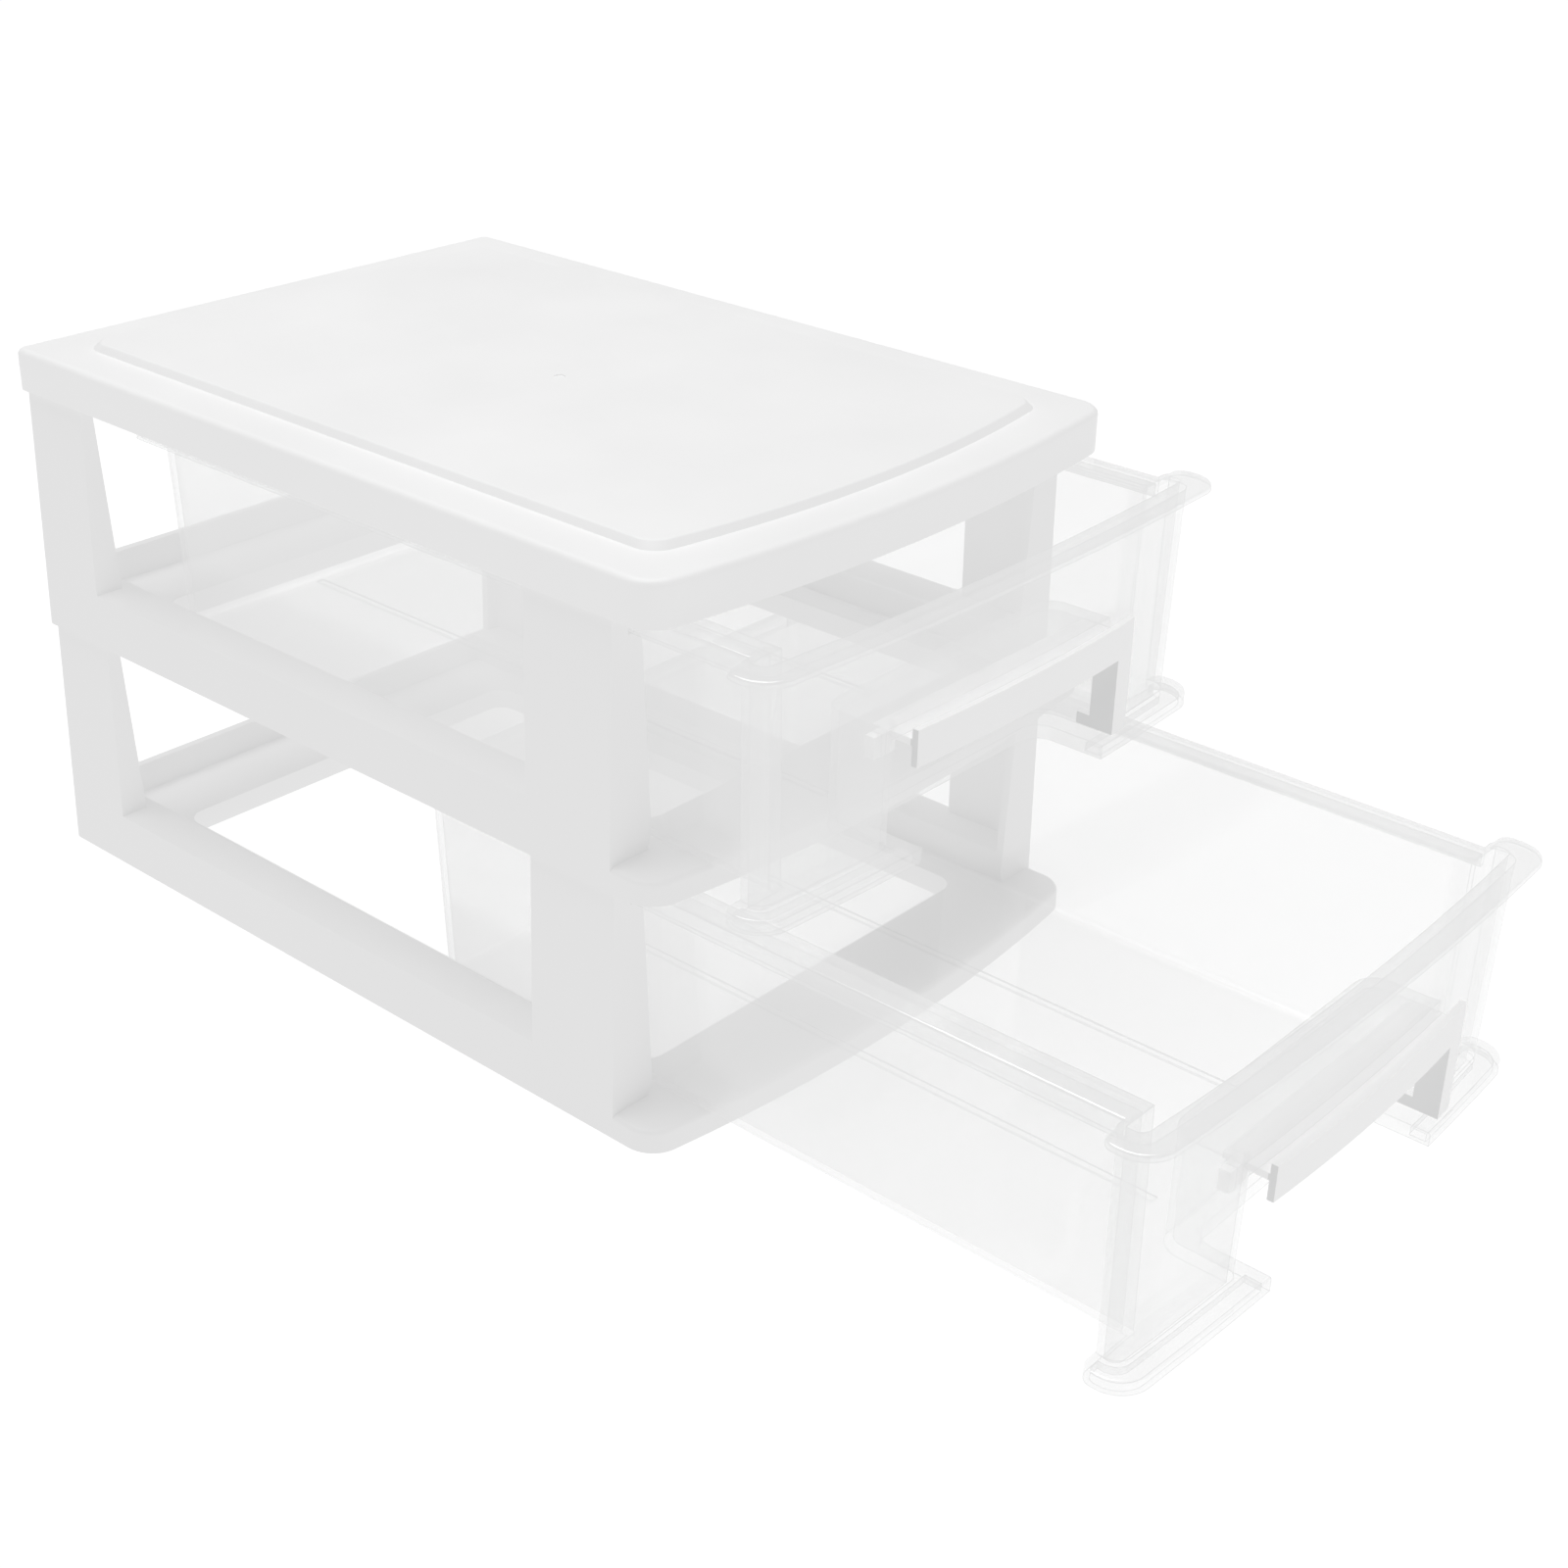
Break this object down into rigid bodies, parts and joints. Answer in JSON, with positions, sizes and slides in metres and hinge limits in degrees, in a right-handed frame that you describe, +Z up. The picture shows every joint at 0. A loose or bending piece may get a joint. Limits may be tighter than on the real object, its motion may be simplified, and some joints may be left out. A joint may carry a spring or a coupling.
{
  "type": "desktop drawer organizer",
  "caption": "White plastic desktop drawer organizer: open-sided tier frames stacked under a flat cover, with clear drawers that pull out by bars across their finger recesses.",
  "frame": {"origin": "on the desk, under the middle of the cabinet's footprint", "axes": "+Z up, -Y out of the front, where the drawers pull out, +X to the right seen from the front"},
  "size_m": [0.1836, 0.3985, 0.1588],
  "materials": {
    "white_plastic": "satin moulded",
    "clear_plastic": "clear polished",
    "handle_plastic": "satin moulded"
  },
  "bodies": {
    "cabinet": {"cover": "white_plastic", "upper_frame": "white_plastic", "lower_frame": "white_plastic"},
    "upper_drawer": {"upper_drawer": "clear_plastic", "upper_handle": "handle_plastic"},
    "lower_drawer": {"lower_drawer": "clear_plastic", "lower_handle": "handle_plastic"}
  },
  "joints": [
    {"name": "upper_drawer_slide", "type": "slide", "parent": "cabinet", "child": "upper_drawer", "axis": [0, -1, 0], "range_m": [-0.036, 0.144]},
    {"name": "lower_drawer_slide", "type": "slide", "parent": "cabinet", "child": "lower_drawer", "axis": [0, -1, 0], "range_m": [-0.1435, 0.0365]}
  ]
}
